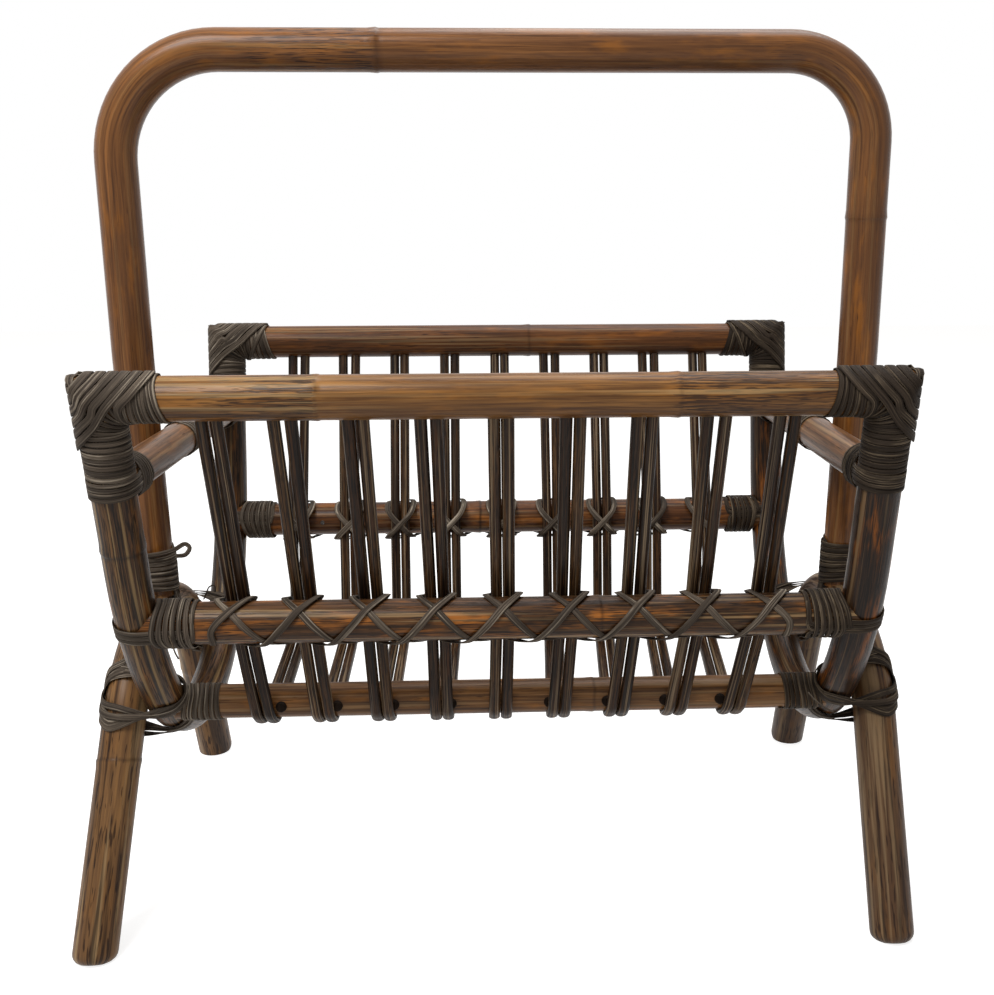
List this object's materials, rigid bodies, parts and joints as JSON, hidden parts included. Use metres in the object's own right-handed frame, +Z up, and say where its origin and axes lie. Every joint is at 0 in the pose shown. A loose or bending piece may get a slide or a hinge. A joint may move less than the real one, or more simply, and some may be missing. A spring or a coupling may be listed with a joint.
{
  "type": "magazine basket",
  "caption": "Free-standing basket of bent rattan poles: a slung trough of thin canes between two end frames, on arched legs, with a carrying hoop.",
  "frame": {"origin": "on the floor under the middle of the basket", "axes": "+Z up, +X to the right along the top rails, front towards -Y"},
  "size_m": [0.5082, 0.3228, 0.5369],
  "materials": {
    "hoop": "glossy varnished rattan pole",
    "rails": "glossy varnished rattan pole, honey brown",
    "frames": "varnished rattan pole, dark brown",
    "legs": "varnished rattan pole, grey brown",
    "canes": "thin dark cane",
    "bindings": "flat strips of dark cane"
  },
  "bodies": {
    "root": {"handle_hoop": "hoop", "left_end_frame": "frames", "right_end_frame": "frames", "left_leg_frame": "legs", "right_leg_frame": "legs", "front_top_rail": "rails", "rear_top_rail": "rails", "left_cross_rail": "frames", "right_cross_rail": "frames", "front_mid_rail": "rails", "front_bottom_rail": "rails", "rear_mid_rail": "rails", "rear_bottom_rail": "rails", "cane_1_left": "canes", "cane_1_right": "canes", "cane_2_left": "canes", "cane_2_right": "canes", "cane_3_left": "canes", "cane_3_right": "canes", "cane_4_left": "canes", "cane_4_right": "canes", "cane_5_left": "canes", "cane_5_right": "canes", "cane_6_left": "canes", "cane_6_right": "canes", "cane_7_left": "canes", "cane_7_right": "canes", "cane_8_left": "canes", "cane_8_right": "canes", "cane_9_left": "canes", "cane_9_right": "canes", "front_left_corner_wrap": "bindings", "front_left_mid_wrap": "bindings", "front_left_bottom_wrap": "bindings", "front_left_cross_wrap": "bindings", "front_left_leg_lashing": "bindings", "front_right_corner_wrap": "bindings", "front_right_mid_wrap": "bindings", "front_right_bottom_wrap": "bindings", "front_right_cross_wrap": "bindings", "front_right_leg_lashing": "bindings", "front_cane_lacing": "bindings", "rear_left_corner_wrap": "bindings", "rear_left_mid_wrap": "bindings", "rear_left_bottom_wrap": "bindings", "rear_left_cross_wrap": "bindings", "rear_left_leg_lashing": "bindings", "rear_right_corner_wrap": "bindings", "rear_right_mid_wrap": "bindings", "rear_right_bottom_wrap": "bindings", "rear_right_cross_wrap": "bindings", "rear_right_leg_lashing": "bindings", "rear_cane_lacing": "bindings", "left_handle_wrap": "bindings", "left_handle_tie": "bindings", "right_handle_wrap": "bindings", "right_handle_tie": "bindings"}
  },
  "joints": []
}
